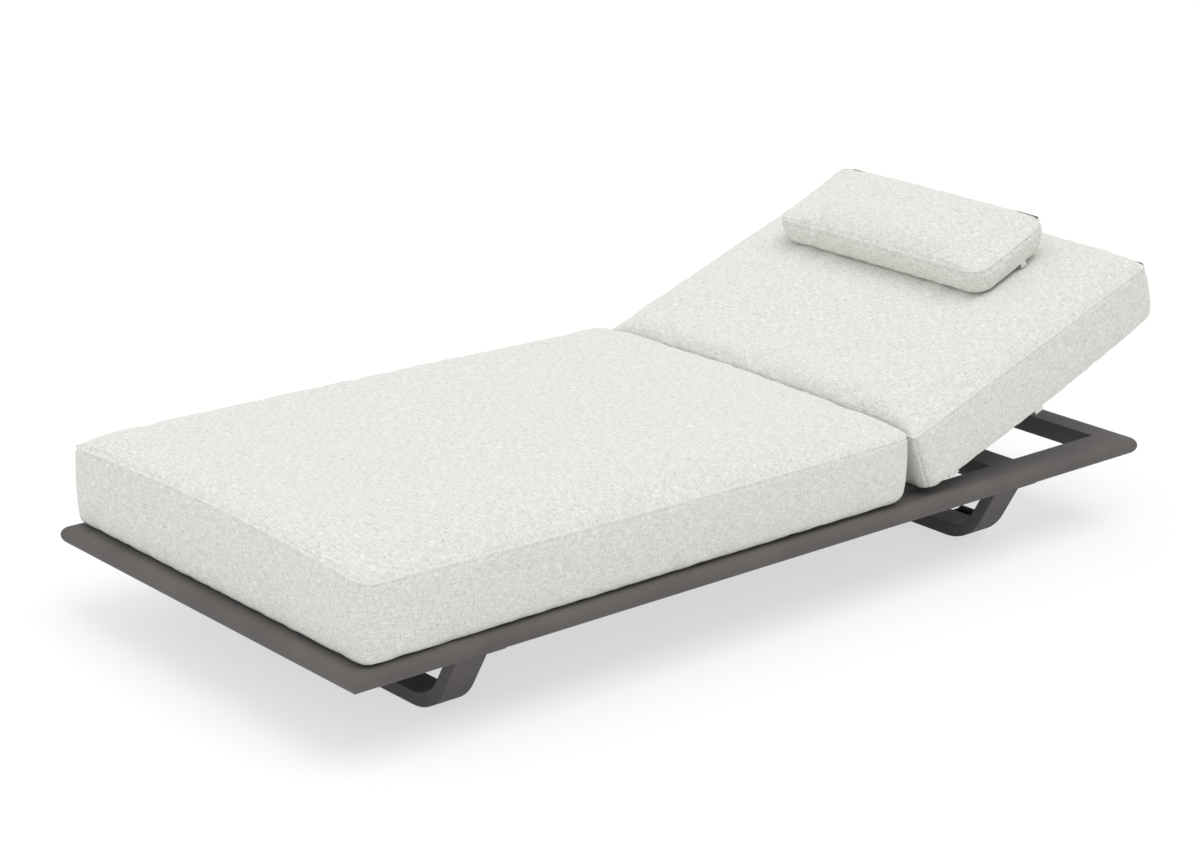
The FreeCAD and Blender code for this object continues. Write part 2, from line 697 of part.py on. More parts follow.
hinge_pins, hinge_screws, beam_holes = [], [], []
for side, way in SIDES:
    tag = f"{side}_hinge_bracket"
    plate = out_from_middle(way, "plate_low", "hinge_plate")
    flange = out_from_middle(way, "flange_low", "hinge_flange_width")
    front = "pivot_along - hinge_plate_half"
    body = joined(tag + "_body", [
        box(tag + "_post", (front, plate, "frame_height"),
            ("2 * hinge_plate_half", "hinge_plate", "pivot_up - frame_height")),
        rod(tag + "_eye", ("pivot_along", plate, "pivot_up"), "hinge_plate_radius", "hinge_plate", ALONG_Y),
        box(tag + "_flange", (front, flange, "frame_height"),
            ("2 * hinge_plate_half", "hinge_flange_width", "hinge_flange_thickness"))])
    holes = [rod(tag + "_bore", ("pivot_along", plate + " - overrun", "pivot_up"), "hinge_pin_radius",
                 "hinge_plate + 2 * overrun", ALONG_Y)]
    for number, inset in enumerate(("hinge_screw_inset", "hinge_flange_width - hinge_screw_inset")):
        along, across = "pivot_along", f"{flange} + {inset}"
        top = "frame_height + hinge_flange_thickness"
        for made, owner in ((holes, "flange"), (beam_holes, "beam")):
            made.append(rod(f"{tag}_{owner}_hole_{number}", (along, across, "frame_height - overrun"),
                            "hinge_screw_radius", "2 * overrun", UPRIGHT))
        shank = rod(f"{tag}_shank_{number}", (along, across, top + " - hinge_screw_length"),
                    "hinge_screw_radius", "hinge_screw_length", UPRIGHT)
        head = rod(f"{tag}_head_{number}", (along, across, top), "hinge_screw_head_radius",
                   "hinge_screw_head_height", UPRIGHT)
        hinge_screws.append(joined(f"{tag}_screw_{number}", [shank, head]))
    node(drilled(tag, body, holes), tag)

    pin_length = "back_tube_width + 2 * side_gap + hinge_plate"
    pin_low = out_from_middle(way, "plate_low", pin_length)
    pin = rod(f"{side}_hinge_pin_shank", ("pivot_along", pin_low, "pivot_up"), "hinge_pin_radius", pin_length,
              ALONG_Y)
    head_low = out_from_middle(way, "back_half_width + side_gap", "hinge_head_thickness")
    head = rod(f"{side}_hinge_pin_head", ("pivot_along", head_low, "pivot_up"), "hinge_head_radius",
               "hinge_head_thickness", ALONG_Y)
    hinge_pins.append(joined(f"{side}_hinge_pin", [pin, head]))
node(joined("hinge_pins", hinge_pins), "hinge_pins")
node(joined("hinge_screws", hinge_screws), "hinge_screws")
node(drilled("hinge_cross_member", cross_member("hinge_beam_tube", "pivot_along"), beam_holes),
     "hinge_cross_member")


# backrest frame, in its own frame: X along the slope from the hinge pin, Z off it

def pin_bore(name, low, span, along, radius):
    """What a pin's hole takes out of a piece that lies from low across by a span."""
    return rod(name, (along, f"{low} - overrun", "0"), radius, f"{span} + 2 * overrun", ALONG_Y)


tube_plugs, tube_caps = [], []
for side, way in SIDES:
    low = out_from_middle(way, "tube_inner", "back_tube_width")
    tag = f"{side}_back_tube"
    straight = tube(tag + "_straight", ("-half_tube", low, "-half_tube"),
                    ("upper_tube_start + half_tube", "back_tube_width", "back_tube_thickness"),
                    "back_tube_wall", 0)
    beyond = box(tag + "_beyond_pin", ("0", f"{low} - overrun", "-half_tube - overrun"),
                 ("upper_tube_start + overrun", "back_tube_width + 2 * overrun",
                  "back_tube_thickness + 2 * overrun"))
    nose = pin_bore(tag + "_nose", low, "back_tube_width", "0", "half_tube")
    ended = common(tag + "_ended", straight, joined(tag + "_outline", [beyond, nose]))
    bore = pin_bore(tag + "_bore", low, "back_tube_width", "0", "hinge_pin_radius + running_gap")
    node(in_back(cut(tag, ended, bore)), tag)

    tag = f"{side}_tube_plug"
    low, span = f"{low} + back_tube_wall", "back_tube_width - 2 * back_tube_wall"
    block = box(tag + "_block", ("0", low, "-half_tube + back_tube_wall"),
                ("tube_plug_length", span, "back_tube_thickness - 2 * back_tube_wall"))
    nose = rod(tag + "_nose", ("0", low, "0"), "half_tube - back_tube_wall", span, ALONG_Y)
    bore = pin_bore(tag + "_bore", low, span, "0", "hinge_pin_radius + running_gap")
    tube_plugs.append(cut(tag, joined(tag + "_body", [block, nose]), bore))

    low = out_from_middle(way, "back_half_width - tube_cap_length", "tube_cap_length")
    tube_caps.append(box(f"{side}_tube_cap",
                         ("upper_tube_start + back_tube_wall", low, "-half_tube + back_tube_wall"),
                         ("back_tube_width - 2 * back_tube_wall", "tube_cap_length",
                          "back_tube_thickness - 2 * back_tube_wall")))
node(in_back(joined("tube_plugs", tube_plugs)), "tube_plugs")
node(in_back(joined("tube_caps", tube_caps)), "tube_caps")

for name, along, half in (("back_lower_tube", "lower_tube_start", "tube_inner"),
                          ("back_upper_tube", "upper_tube_start", "back_half_width")):
    node(in_back(tube(name, (along, "-" + half, "-half_tube"),
                      ("back_tube_width", "2 * " + half, "back_tube_thickness"), "back_tube_wall", 1)), name)

slat_gap = f"((upper_tube_start - lower_tube_end - {BACK_SLATS} * back_slat_width) / {BACK_SLATS + 1})"
for number in range(BACK_SLATS):
    slat = doc.addObject("Part::Box", f"back_slat_{number + 1}")
    bind(slat, Length="back_slat_width", Width="2 * tube_inner", Height="back_slat_thickness")
    in_back(slat, f"lower_tube_end + {number + 1} * {slat_gap} + {number} * back_slat_width", "-tube_inner",
            "half_tube - back_slat_thickness")
    node(slat, f"back_slat_{number + 1}")


# folding stay: two arms and a bar that drops into the racks; its brackets and pins stay on the backrest

stay_pins = []
for side, way in SIDES:
    tag = f"{side}_stay_bracket"
    middle = f"{way} * stay_place"
    low, span = f"{middle} - stay_half_width", "2 * stay_half_width"
    parts = [box(tag + "_base", ("lower_tube_end", low, "-stay_bar_radius"),
                 ("stay_bracket_base", span, "2 * stay_bar_radius"))]
    for number, edge in enumerate((low, f"{middle} + stay_half_gap")):
        parts.append(box(f"{tag}_cheek_{number}", ("lower_tube_end", edge, "-stay_bar_radius"),
                         ("stay_length - lower_tube_end", "stay_cheek", "2 * stay_bar_radius")))
        parts.append(rod(f"{tag}_eye_{number}", ("stay_length", edge, "0"), "stay_bar_radius", "stay_cheek",
                         ALONG_Y))
    bore = pin_bore(tag + "_bore", low, span, "stay_length", "stay_pin_radius")
    node(in_back(cut(tag, joined(tag + "_body", parts), bore)), tag)
    stay_pins.append(rod(f"{side}_stay_pin", ("stay_along", low, "stay_up"), "stay_pin_radius", span, ALONG_Y))

    tag = f"{side}_stay_arm"
    low = f"{middle} - stay_arm_thickness / 2"
    bar = box(tag + "_bar", ("0", low, "-stay_arm_height / 2"),
              ("stay_length", "stay_arm_thickness", "stay_arm_height"))
    eye = rod(tag + "_eye", ("0", low, "0"), "stay_arm_height / 2", "stay_arm_thickness", ALONG_Y)
    bore = pin_bore(tag + "_bore", low, "stay_arm_thickness", "0", "stay_pin_radius + running_gap")
    saddle = pin_bore(tag + "_saddle", low, "stay_arm_thickness", "stay_length", "stay_bar_radius")
    node(in_stay(drilled(tag, joined(tag + "_body", [bar, eye]), [bore, saddle])), tag)
node(joined("stay_pins", stay_pins), "stay_pins")


def stay_bar_along(tilt):
    """Where the crossbar stands at a tilt of the backrest: stay and backrest make two equal legs."""
    return f"pivot_along + 2 * stay_length * cos({tilt})"


node(rod("stay_crossbar", (stay_bar_along("back_tilt"), "-stay_bar_half", "pivot_up"), "stay_bar_radius",
         "2 * stay_bar_half", ALONG_Y), "stay_crossbar")

for side, way in SIDES:
    tag = f"{side}_rack"
    low = f"{way} * rack_place - rack_thickness / 2"
    comb_start = stay_bar_along(NOTCH_TILTS[-1]) + " - rack_lead"
    web = box(tag + "_web", ("rack_start", low, "rack_low"),
              ("rack_end - rack_start", "rack_thickness", "rack_depth"))
    comb = box(tag + "_comb", (comb_start, low, "rack_low"),
               (f"rack_end - ({comb_start})", "rack_thickness", "rack_tip - rack_low"))
    notches = [rod(f"{tag}_notch_{number}",
                   (stay_bar_along(tilt), f"{low} - overrun", "rack_tip + notch_radius - notch_depth"),
                   "notch_radius", "rack_thickness + 2 * overrun", ALONG_Y)
               for number, tilt in enumerate(NOTCH_TILTS)]
    node(drilled(tag, joined(tag + "_blank", [web, comb]), notches), tag)


# cushions

seat_low = Vector(place("foot_end") + size("seat_foot_inset"), 0, size("frame_height") + size("soft_gap"))
node(solid("seat_cushion", cushion_shape(seat_form), Placement(seat_low, UPRIGHT)), "seat_cushion")

hinge = Placement(Vector(place("pivot_along"), 0, place("pivot_up")), tilt_turn)
node(solid("back_cushion", back_cushion_shape, hinge.multiply(back_cushion_low)), "back_cushion")

pillow_off = back_cushion_off + size("soft_gap") + back_form["seam"] + back_form["crown"]
pillow_start = back_cushion_end - size("pillow_head_gap") - size("pillow_depth")
pillow_low = Placement(Vector(pillow_start, 0, pillow_off), UPRIGHT)
node(solid("head_pillow", cushion_shape(pillow_form), hinge.multiply(pillow_low)), "head_pillow")

doc.recompute()

for thing in doc.Objects:
    if "Invalid" in thing.State or "Error" in thing.State:
        raise RuntimeError(f"{thing.Name} failed: {thing.State}")
for piece in nodes:
    if piece.Shape.isNull() or not piece.Shape.isValid() or not piece.Shape.Solids:
        raise RuntimeError(f"{piece.Label} is not a valid solid")

os.makedirs("parts", exist_ok=True)
for piece in nodes:
    piece.Shape.exportStep(f"parts/{piece.Label}.step")

print("pieces", len(nodes), "solids", sum(len(piece.Shape.Solids) for piece in nodes))
for word in ("centre", "pivot_along", "pivot_up", "stay_along", "stay_up", "roller_along", "roller_up",
             "leg_flat_half"):
    print(word, round(place(word), 4))
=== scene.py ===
import json
import math

import bpy
import numpy as np
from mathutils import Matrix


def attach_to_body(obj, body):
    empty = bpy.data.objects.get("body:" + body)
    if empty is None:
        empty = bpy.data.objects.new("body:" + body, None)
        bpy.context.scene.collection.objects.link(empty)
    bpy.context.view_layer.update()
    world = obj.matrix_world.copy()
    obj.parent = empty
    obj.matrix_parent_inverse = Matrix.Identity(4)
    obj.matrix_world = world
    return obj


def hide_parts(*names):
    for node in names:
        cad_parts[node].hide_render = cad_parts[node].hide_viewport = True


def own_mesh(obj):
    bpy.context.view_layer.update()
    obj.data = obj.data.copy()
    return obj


# Spa relaxation lounger: three box cushions with woven covers on a powder-coated frame.
# Metres. X runs from the foot end to the head end, Y across, Z up, and Z = 0 is the floor.
# The near side is at -Y. "Along, across and off" are a cushion's own directions: along its length,
# across its width, and away from the frame that it lies on.

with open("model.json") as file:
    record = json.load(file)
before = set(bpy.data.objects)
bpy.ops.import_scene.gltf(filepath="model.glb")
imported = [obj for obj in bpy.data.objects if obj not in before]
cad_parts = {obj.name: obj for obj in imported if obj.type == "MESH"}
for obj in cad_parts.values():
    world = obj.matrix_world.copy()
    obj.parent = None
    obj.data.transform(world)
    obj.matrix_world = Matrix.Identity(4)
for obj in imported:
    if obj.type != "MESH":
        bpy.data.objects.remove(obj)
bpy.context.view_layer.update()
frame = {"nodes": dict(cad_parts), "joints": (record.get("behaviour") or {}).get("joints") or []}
joints = {joint["name"]: joint for joint in frame["joints"]}

# TINY keeps a division from meeting zero. Lengths that differ by less than TOUCH are the same.
TINY = 1e-9
TOUCH = 1e-6

# places

hinge_point = np.array(joints["backrest_hinge"]["pos_m"], float)
slope = np.array(joints["back_cushion_slide"]["axis"], float)
LEVEL = (np.zeros(3), np.eye(3))
TILTED = (hinge_point, np.array([slope, [0.0, 1.0, 0.0], [-slope[2], 0.0, slope[0]]]))


def to_row(points, place):
    """A place's own coordinates in the object's frame: each axis times its coordinate, plus the origin."""
    origin, axes = place
    return points @ axes + origin


def to_place(points, place):
    """The way back: each coordinate is the distance from the origin along its axis."""
    origin, axes = place
    return (points - origin) @ axes.T


def read_points(mesh):
    points = np.empty(len(mesh.vertices) * 3, np.float32)
    mesh.vertices.foreach_get("co", points)
    return points.reshape(-1, 3).astype(float)


def extent(node, place):
    """A CAD node's lowest and highest coordinates in a place's own directions."""
    points = to_place(read_points(frame["nodes"][node].data), place)
    return points.min(axis=0), points.max(axis=0)


# meshes

def make_piece(name, points, quads, material):
    mesh = bpy.data.meshes.new(name)
    mesh.from_pydata(points, [], quads)
    mesh.update()
    mesh.shade_smooth()
    mesh.materials.append(material)
    piece = bpy.data.objects.new(name, mesh)
    bpy.context.scene.collection.objects.link(piece)
    return piece


def quads_of(ids, flip=False):
    """The four-sided faces of a grid of point numbers. Flipped, they face the other way."""
    corners = [ids[:-1, :-1], ids[1:, :-1], ids[1:, 1:], ids[:-1, 1:]]
    faces = np.stack(corners[::-1] if flip else corners, axis=-1)
    return faces.reshape(-1, 4)


def set_points(mesh, points):
    mesh.vertices.foreach_set("co", points.astype(np.float32).ravel())
    mesh.update()


def read_attribute(mesh, name):
    values = np.empty(len(mesh.vertices), np.float32)
    mesh.attributes[name].data.foreach_get("value", values)
    return values.astype(float)


def set_attribute(mesh, name, values):
    attribute = mesh.attributes.new(name, "FLOAT", "POINT")
    attribute.data.foreach_set("value", values.astype(np.float32))


def read_normals(mesh):
    normals = np.empty(len(mesh.vertices) * 3, np.float32)
    mesh.vertices.foreach_get("normal", normals)
    return normals.reshape(-1, 3).astype(float)


def unit(vectors):
    return vectors / np.maximum(np.linalg.norm(vectors, axis=-1, keepdims=True), TINY)


def ripples(points, wave, seed, count=24, spread=(0.6, 1.6)):
    """Soft noise between about -1 and 1: the sum of many sine waves of random direction and phase, over the
    root of their number. Their lengths are the given one over a number drawn from the spread."""
    draw = np.random.default_rng(seed)
    ways = unit(draw.normal(size=(count, 3))) * draw.uniform(*spread, (count, 1)) * (2 * math.pi / wave)
    phases = draw.uniform(0, 2 * math.pi, count)
    return np.sin(points @ ways.T + phases).sum(axis=1) / math.sqrt(count)


def ring_ripples(around, length, wave, seed, count=20, spread=(0.6, 1.7)):
    """Soft noise round a closed line: sine waves of whole numbers of turns, so that it meets itself. Their
    lengths are the given one times a number drawn from the spread."""
    draw = np.random.default_rng(seed)
    turns = np.round(length / (wave * draw.uniform(*spread, count)))
    phases = draw.uniform(0, 2 * math.pi, count)
    return np.sin(2 * math.pi * around[:, None] / length * turns + phases).sum(axis=1) / math.sqrt(count)


def bell(distance, width):
    """A smooth bump: the exponential of minus the square of the distance over its width."""
    return np.exp(-(distance / width) ** 2)


def ridge(distance, shape):
    """A ridge of a height, a distance and a width: the height times a bell round the distance. A groove has
    a height below zero."""
    height, place, width = shape
    return height * bell(distance - place, width)


# node materials

def start_material(name):
    material = bpy.data.materials.new(name)
    material.use_nodes = True
    tree = material.node_tree
    shader = tree.nodes["Principled BSDF"]
    return material, tree, shader


def node(tree, kind, **settings):
    made = tree.nodes.new(kind)
    for name, value in settings.items():
        setattr(made, name, value)
    return made


def wire(tree, source, target):
    tree.links.new(source, target)


def stretched(tree, source, scale):
    """Coordinates times a scale for each axis."""
    mapping = node(tree, "ShaderNodeMapping")
    wire(tree, source, mapping.inputs["Vector"])
    mapping.inputs["Scale"].default_value = scale
    return mapping.outputs["Vector"]


def noise(tree, vector, scale, detail=2.0, roughness=0.5):
    made = node(tree, "ShaderNodeTexNoise")
    wire(tree, vector, made.inputs["Vector"])
    made.inputs["Scale"].default_value = scale
    made.inputs["Detail"].default_value = detail
    made.inputs["Roughness"].default_value = roughness
    return made.outputs["Fac"]


def remap(tree, value, from_low, from_high, to_low=0.0, to_high=1.0):
    made = node(tree, "ShaderNodeMapRange")
    wire(tree, value, made.inputs["Value"])
    for socket, number in zip(("From Min", "From Max", "To Min", "To Max"),
                              (from_low, from_high, to_low, to_high)):
        made.inputs[socket].default_value = number
    return made.outputs["Result"]


def math_node(tree, operation, first, second=None):
    made = node(tree, "ShaderNodeMath", operation=operation)
    for socket, value in zip(made.inputs, (first, second)):
        if isinstance(value, (int, float)):
            socket.default_value = value
        elif value is not None:
            wire(tree, value, socket)
    return made.outputs["Value"]


def mixed(tree, share, first, second):
    """A blend of two colours, each given as a colour or as a node's output."""
    made = node(tree, "ShaderNodeMix", data_type="RGBA")
    wire(tree, share, made.inputs["Factor"])
    for socket, value in ((made.inputs[6], first), (made.inputs[7], second)):
        if isinstance(value, tuple):
            socket.default_value = (*value, 1.0)
        else:
            wire(tree, value, socket)
    return made.outputs[2]


def bumped(tree, shader, height, strength, distance):
    """A relief given by a height, whose full range is the distance times the strength."""
    bump = node(tree, "ShaderNodeBump")
    bump.inputs["Strength"].default_value = strength
    bump.inputs["Distance"].default_value = distance
    wire(tree, height, bump.inputs["Height"])
    wire(tree, bump.outputs["Normal"], shader.inputs["Normal"])


def plain(red, green, blue):
    """A display colour of 0 to 255 as the linear values that a shader takes."""
    shares = np.array([red, green, blue]) / 255
    curve = ((shares + 0.055) / 1.055) ** 2.4
    return tuple(float(value) for value in np.where(shares <= 0.04045, shares / 12.92, curve))


def set_shader(shader, settings):
    for socket, value in settings.items():
        shader.inputs[socket].default_value = value


# The cover's threads, as how many times a metre a noise changes across a panel and along it. Slubs are the
# thick places of a yarn. The weave's relief repeats at its pitch, and has this share beside the yarns' own.
WARP = (350.0, 65.0)
WEFT = (60.0, 350.0)
FINE_YARN = (900.0, 500.0)
CLOUD = (26.0, 26.0)
WARP_SLUB = (420.0, 85.0)
WEFT_SLUB = (80.0, 420.0)
WEAVE_PITCH = 0.0024
WEAVE_SHARE = 0.5
WEAVE_DEPTH = 0.0010


def fabric_material():
    """Woven melange: a pale ground crossed by darker threads of two directions, with a few dark slubs, and
    a weave's relief. It reads the cover's own map, in metres, so that the threads follow each panel."""
    material, tree, shader = start_material("woven_melange")
    threads = node(tree, "ShaderNodeUVMap", uv_map="threads").outputs["UV"]
    pale, mid = plain(252, 254, 249), plain(230, 231, 225)
    dark, slub = plain(207, 204, 197), plain(150, 145, 136)

    def yarn(scale, detail, roughness=0.5):
        return noise(tree, stretched(tree, threads, (*scale, 1.0)), 1.0, detail, roughness)

    warp, weft = yarn(WARP, 3.0, 0.66), yarn(WEFT, 3.0, 0.66)
    cloth = pale
    # Each layer of colour: its noise, the levels between which it comes in, its full share and its colour.
    for pattern, low, high, share, colour in (
            (warp, 0.36, 0.62, 1.0, mid),
            (weft, 0.40, 0.68, 0.75, dark),
            (yarn(FINE_YARN, 2.0), 0.50, 0.75, 0.35, dark),
            (yarn(CLOUD, 2.0), 0.40, 0.70, 0.12, dark),
            (yarn(WARP_SLUB, 1.0), 0.62, 0.76, 0.60, slub),
            (yarn(WEFT_SLUB, 1.0), 0.66, 0.80, 0.45, slub)):
        cloth = mixed(tree, remap(tree, pattern, low, high, 0.0, share), cloth, colour)
    wire(tree, cloth, shader.inputs["Base Color"])

    apart = node(tree, "ShaderNodeSeparateXYZ")
    wire(tree, threads, apart.inputs["Vector"])
    turns = 2 * math.pi / WEAVE_PITCH
    over = math_node(tree, "SINE", math_node(tree, "MULTIPLY", apart.outputs["X"], turns))
    under = math_node(tree, "SINE", math_node(tree, "MULTIPLY", apart.outputs["Y"], turns))
    weave = math_node(tree, "MULTIPLY", over, under)
    relief = math_node(tree, "ADD", math_node(tree, "MULTIPLY", weave, WEAVE_SHARE),
                       math_node(tree, "ADD", warp, weft))
    bumped(tree, shader, relief, strength=0.5, distance=WEAVE_DEPTH)
    set_shader(shader, {"Roughness": 0.92, "Specular IOR Level": 0.15,
                        "Sheen Weight": 0.10, "Sheen Roughness": 0.6})
    return material


# A coating's unevenness: how many times a metre it changes, how much lighter and darker it gets, how light
# its specks are, and how much smoother and rougher it gets.
COAT_CLOUD = 9.0
COAT_LIGHT, COAT_DARK, COAT_SPECK = 1.12, 0.90, 1.5
COAT_SMOOTHER, COAT_ROUGHER = 0.04, 0.05
COAT_DEPTH = 0.0002


def coated_material(name, colour, roughness, grain):
    """A powder coat or moulded finish: one colour with a faint unevenness, and the fine relief of its
    grain, which changes as many times a metre as grain says."""
    material, tree, shader = start_material(name)
    place = node(tree, "ShaderNodeTexCoord").outputs["Object"]
    cloud = noise(tree, place, COAT_CLOUD, 3.0)
    speck = noise(tree, place, grain, 2.0)
    lighter = tuple(min(1.0, COAT_LIGHT * value) for value in colour)
    darker = tuple(COAT_DARK * value for value in colour)
    specks = tuple(COAT_SPECK * value for value in colour)
    tint = mixed(tree, remap(tree, cloud, 0.3, 0.7), darker, lighter)
    tint = mixed(tree, remap(tree, speck, 0.62, 0.8, 0.0, 0.35), tint, specks)
    wire(tree, tint, shader.inputs["Base Color"])
    matt = remap(tree, cloud, 0.3, 0.7, roughness - COAT_SMOOTHER, roughness + COAT_ROUGHER)
    wire(tree, matt, shader.inputs["Roughness"])
    bumped(tree, shader, speck, strength=0.25, distance=COAT_DEPTH)
    set_shader(shader, {"Specular IOR Level": 0.25})
    return material


# Steel's drawn lines, as how many times a metre they change along each axis, and its film's patches.
STEEL_LINES = (260.0, 260.0, 2600.0)
STEEL_FILM = 60.0
STEEL_DEPTH = 0.0001


def steel_material():
    """Turned and drawn steel: fine lines round each part, and a rougher film in patches."""
    material, tree, shader = start_material("stainless_steel")
    place = node(tree, "ShaderNodeTexCoord").outputs["Object"]
    lines = noise(tree, stretched(tree, place, STEEL_LINES), 1.0, 2.0)
    film = noise(tree, place, STEEL_FILM, 3.0)
    tint = mixed(tree, remap(tree, film, 0.3, 0.7), plain(168, 168, 170), plain(190, 190, 191))
    wire(tree, tint, shader.inputs["Base Color"])
    wire(tree, remap(tree, film, 0.3, 0.7, 0.28, 0.42), shader.inputs["Roughness"])
    bumped(tree, shader, lines, strength=0.2, distance=STEEL_DEPTH)
    set_shader(shader, {"Metallic": 1.0})
    return material


# The zip's yarn, as how many times a metre it changes round the tape and along it.
ZIP_YARN = (1400.0, 2400.0, 1.0)
ZIP_DEPTH = 0.0003


def zip_material():
    """Dark woven tape and coil: fine threads along its own map, in metres."""
    material, tree, shader = start_material("zip_tape")
    threads = node(tree, "ShaderNodeUVMap", uv_map="threads").outputs["UV"]
    yarn = noise(tree, stretched(tree, threads, ZIP_YARN), 1.0, 2.0)
    tint = mixed(tree, remap(tree, yarn, 0.35, 0.65), plain(78, 77, 75), plain(112, 110, 107))
    wire(tree, tint, shader.inputs["Base Color"])
    bumped(tree, shader, yarn, strength=0.4, distance=ZIP_DEPTH)
    set_shader(shader, {"Roughness": 0.6})
    return material


fabric = fabric_material()
powder_coat = coated_material("powder_coat", plain(98, 95, 93), roughness=0.68, grain=1500.0)
black_plastic = coated_material("glide_plastic", plain(34, 34, 34), roughness=0.55, grain=900.0)
roller_rubber = coated_material("roller_rubber", plain(30, 30, 31), roughness=0.72, grain=1200.0)
steel = steel_material()
zip_tape = zip_material()

# frame finishes

PLASTIC_NODES = ("front_near_glide", "front_far_glide", "rear_near_glide", "rear_far_glide", "tube_plugs",
                 "tube_caps", "near_roller_bracket", "far_roller_bracket")
RUBBER_NODES = ("near_roller", "far_roller")
STEEL_NODES = ("leg_screws", "roller_screws", "near_roller_axle", "far_roller_axle", "hinge_pins",
               "hinge_screws", "stay_pins")


def finish_nodes():
    """Give every node of the frame its finish in place of the plain one it came with."""
    finishes = {name: powder_coat for name in frame["nodes"]}
    finishes.update({name: black_plastic for name in PLASTIC_NODES})
    finishes.update({name: roller_rubber for name in RUBBER_NODES})
    finishes.update({name: steel for name in STEEL_NODES})
    for name, finish in finishes.items():
        thing = frame["nodes"][name]
        if thing.material_slots:
            for place in thing.material_slots:
                place.material = finish
        else:
            thing.data.materials.append(finish)


finish_nodes()

# cushion forms

# The grid lines beside a seam, as distances from it. Even steps begin after the last one.
NEAR_SEAM = np.array([0.0, 0.0025, 0.006, 0.011, 0.018, 0.028])
# Grid steps of the quarter turn round a cushion's lower edge.
FOOT_STEPS = 5
# The power that squares a bowed side's arch.
BOW_POWER = 0.8
# The power that keeps a side's draw, and the head end's lean, to the cushion's edge.
EDGE_POWER = 8
# Where the underside's and the border's maps begin, in metres, well clear of the top panel's.
UNDER_MAP, BORDER_MAP = 3.0, 7.0


def lines_across(span, step):
    """Grid lines over a span: close to each other near both ends, where a seam runs, and even between."""
    middle = span - 2 * NEAR_SEAM[-1]
    count = round(middle / step)
    even = NEAR_SEAM[-1] + middle * np.arange(1, count) / count
    return np.concatenate([NEAR_SEAM, even, span - NEAR_SEAM[::-1]])


def lines_up(seam, foot_radius, step):
    """Heights along a cushion's side: as arc length round the lower edge, then up to the seam."""
    arc = foot_radius * math.pi / 2
    turn = arc * np.arange(FOOT_STEPS) / FOOT_STEPS
    straight = seam - foot_radius
    count = max(1, round((straight - NEAR_SEAM[-1]) / step))
    even = arc + (straight - NEAR_SEAM[-1]) * np.arange(count) / count
    return np.concatenate([turn, even, arc + straight - NEAR_SEAM[::-1]])


def rounded_plan(x, y, half_length, half_width, radius):
    """Round a rectangle's corners: in each corner square, a point at shares p and q moves to
    p sqrt(1 - q q / 2) and q sqrt(1 - p p / 2), which bends the square into a quarter disc."""
    p = np.clip((np.abs(x) - half_length + radius) / radius, 0, 1)
    q = np.clip((np.abs(y) - half_width + radius) / radius, 0, 1)
    inner_x = np.minimum(np.abs(x), half_length - radius)
    inner_y = np.minimum(np.abs(y), half_width - radius)
    return (np.sign(x) * (inner_x + radius * p * np.sqrt(1 - q * q / 2)),
            np.sign(y) * (inner_y + radius * q * np.sqrt(1 - p * p / 2)))


def box_grid(counts):
    """Point numbers over the outside of a box of grid lines, with -1 inside it."""
    outside = np.ones(counts, bool)
    outside[1:-1, 1:-1, 1:-1] = False
    ids = np.full(counts, -1)
    ids[outside] = np.arange(outside.sum())
    return ids, np.argwhere(outside)


def cushion_points(form, along, across, up):
    """A box cushion's surface. From above it is a rectangle with round corners, rounder at the foot than at
    the seam, whose sides draw in between them by a parabola. Up its side it goes a quarter turn round the
    lower edge and then up a bowed side to the seam, whose height falls evenly along the cushion and bows
    between the corners. The head end leans in going down. The crown rises from each seam over its run, as
    one minus a falling power of the distance from it. The rises along and across are joined by their
    product over the root of the sum of their squares less the product's, which follows the lower one."""
    half_length, half_width = form["length"] / 2, form["width"] / 2
    x, y = along - half_length, across - half_width
    share_x, share_y = np.abs(x) / half_length, np.abs(y) / half_width
    share_along = along / form["length"]

    base_radius = form["foot_radius"]
    radius = base_radius * (1 + form["foot_more"] * (2 * share_along - 1) ** 2
                            + form["foot_lean"] * (2 * share_along - 1))
    arc, straight = base_radius * math.pi / 2, form["seam"] - base_radius
    turn = np.clip(up / arc, 0, 1) * math.pi / 2
    rise = np.clip((up - arc) / straight, 0, 1)
    bowed = form["bulge"] * (1 - (4 * rise * (1 - rise)) ** BOW_POWER)
    inset = radius * (1 - np.sin(turn)) + bowed
    corner = form["corner"] + form["corner_more"] * (1 - rise)
    plan_x, plan_y = rounded_plan(x * (1 - inset / half_length), y * (1 - inset / half_width),
                                  half_length - inset, half_width - inset, corner)
    plan_x = plan_x - np.sign(x) * form["draw_end"] * share_x ** EDGE_POWER * (1 - share_y ** 2)
    plan_x = plan_x - form["lean"] * np.clip(x / half_length, 0, 1) ** EDGE_POWER * (1 - rise)
    plan_y = plan_y - np.sign(y) * form["draw_side"] * share_y ** EDGE_POWER * (1 - share_x ** 2)

    bow = form["bow_along"] * (1 - share_x ** 2) + form["bow_across"] * (1 - share_y ** 2)
    seam = form["seam"] - form["seam_fall"] * share_along + bow
    side = radius * (1 - np.cos(turn)) + rise * (seam - radius)
    away_x = np.clip((half_length - np.abs(plan_x)) / form["run_along"], 0, 1)
    away_y = np.clip((half_width - np.abs(plan_y)) / form["run_across"], 0, 1)
    rise_x, rise_y = 1 - (1 - away_x) ** form["steep"], 1 - (1 - away_y) ** form["steep"]
    both = rise_x * rise_y
    rising = both / np.sqrt(np.maximum(rise_x ** 2 + rise_y ** 2 - both ** 2, TINY))
    crown = form["crown"] - form["crown_fall"] * share_along - bow
    height = np.where(up >= arc + straight - TOUCH, side + crown * rising, side)
    return np.stack([plan_x + half_length, plan_y, height], axis=-1)


def border_height(form):
    """The length of a border's line from the underside to the seam: a quarter turn, then the straight."""
    return form["foot_radius"] * (math.pi / 2 - 1) + form["seam"]


